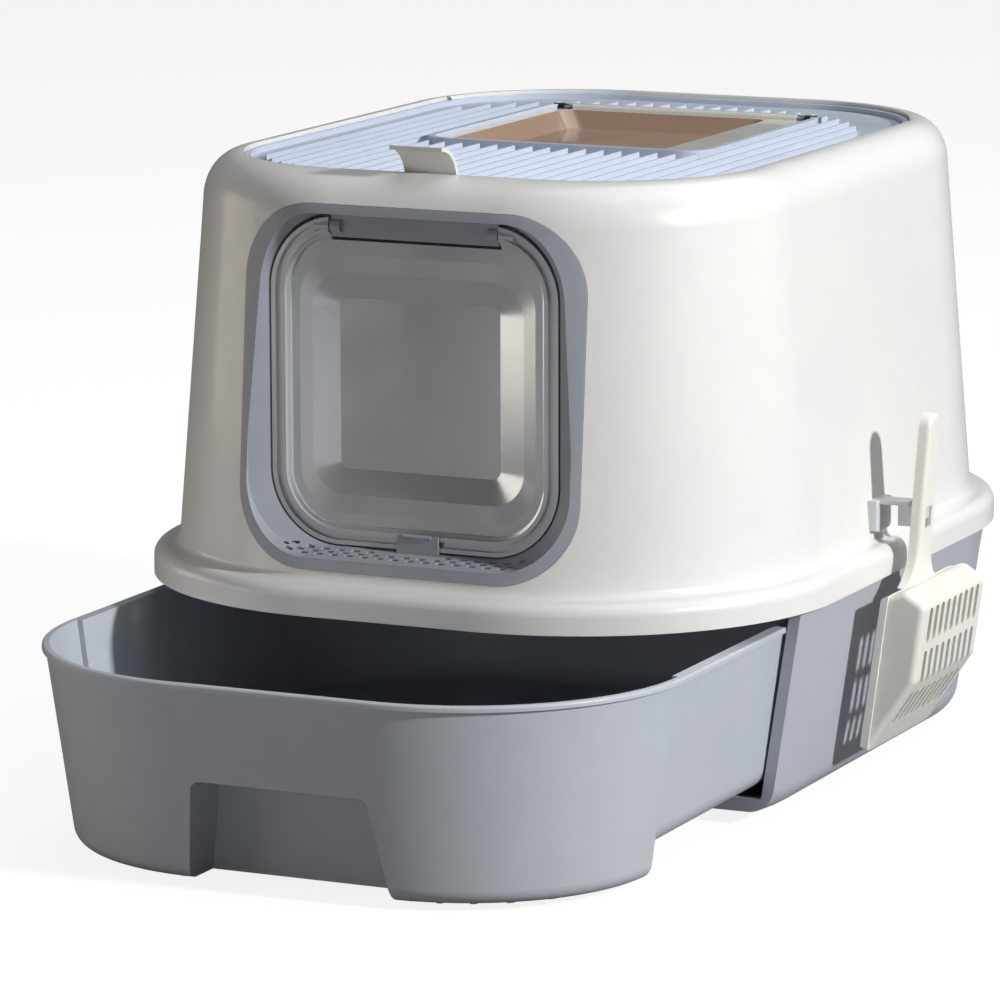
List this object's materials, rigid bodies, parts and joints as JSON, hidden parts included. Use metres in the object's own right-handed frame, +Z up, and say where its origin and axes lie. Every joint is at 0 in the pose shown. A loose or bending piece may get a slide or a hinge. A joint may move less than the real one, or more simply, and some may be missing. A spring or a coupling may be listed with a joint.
{
  "type": "drawer litter box",
  "caption": "Hooded cat litter box: front flap door, ribbed top lid with a hinged skylight, pull-out litter drawer and a scoop hung on the side.",
  "frame": {"origin": "on the floor under the middle of the overall box, with the drawer half open as drawn", "axes": "+Z up, +X to the right of someone facing the door, -Y out of the front, where the drawer opens"},
  "size_m": [0.445, 0.6868, 0.3854],
  "materials": {
    "base_plastic": "satin",
    "drawer_plastic": "satin",
    "hood_plastic": "glossy",
    "lid_plastic": "satin",
    "frame_plastic": "satin",
    "flap_plastic": "glossy",
    "amber_plastic": "glossy",
    "scoop_plastic": "satin",
    "pin_plastic": "matt",
    "dark_plastic": "matt",
    "rubber_pad": "matt"
  },
  "bodies": {
    "base_tray": {"base": "base_plastic", "foot_pads": "rubber_pad", "drawer_runners": "base_plastic", "drawer_stops": "base_plastic"},
    "litter_drawer": {"drawer": "drawer_plastic"},
    "hood_shell": {"hood": "hood_plastic", "lid_hinge_pins": "pin_plastic", "lid_bumpers": "rubber_pad", "door_frame": "frame_plastic", "door_frame_clips": "frame_plastic", "door_hinge_pins": "pin_plastic", "scoop_holder": "frame_plastic", "holder_pins": "pin_plastic"},
    "lid_panel": {"top_lid": "lid_plastic", "lid_tab": "hood_plastic", "skylight_rod": "pin_plastic", "skylight_rod_caps": "dark_plastic"},
    "skylight_panel": {"skylight": "amber_plastic"},
    "flap": {"door_flap": "flap_plastic"},
    "latch": {"door_latch": "frame_plastic"},
    "hand_scoop": {"scoop": "scoop_plastic"}
  },
  "joints": [
    {"name": "drawer_slide", "type": "slide", "parent": "base_tray", "child": "litter_drawer", "axis": [0, -1, 0], "range_m": [-0.148, 0.151]},
    {"name": "hood_lift", "type": "slide", "parent": "base_tray", "child": "hood_shell", "axis": [0, 0, 1], "range_m": [0, 0.15]},
    {"name": "lid_swing", "type": "hinge", "parent": "hood_shell", "child": "lid_panel", "pos_m": [-0.01754, 0.2016, 0.3605], "axis": [-1, 0, 0], "range_deg": [0, 80]},
    {"name": "skylight_swing", "type": "hinge", "parent": "lid_panel", "child": "skylight_panel", "pos_m": [-0.00954, 0.2026, 0.366], "axis": [-1, 0, 0], "range_deg": [0, 85]},
    {"name": "door_swing", "type": "hinge", "parent": "hood_shell", "child": "flap", "pos_m": [-0.01754, -0.1564, 0.3395], "axis": [1, 0, 0], "range_deg": [0, 75]},
    {"name": "latch_slide", "type": "slide", "parent": "hood_shell", "child": "latch", "axis": [0, 0, -1], "range_m": [0, 0.008]},
    {"name": "scoop_pull", "type": "slide", "parent": "hood_shell", "child": "hand_scoop", "axis": [1, 0, 0], "range_m": [0, 0.12]}
  ]
}
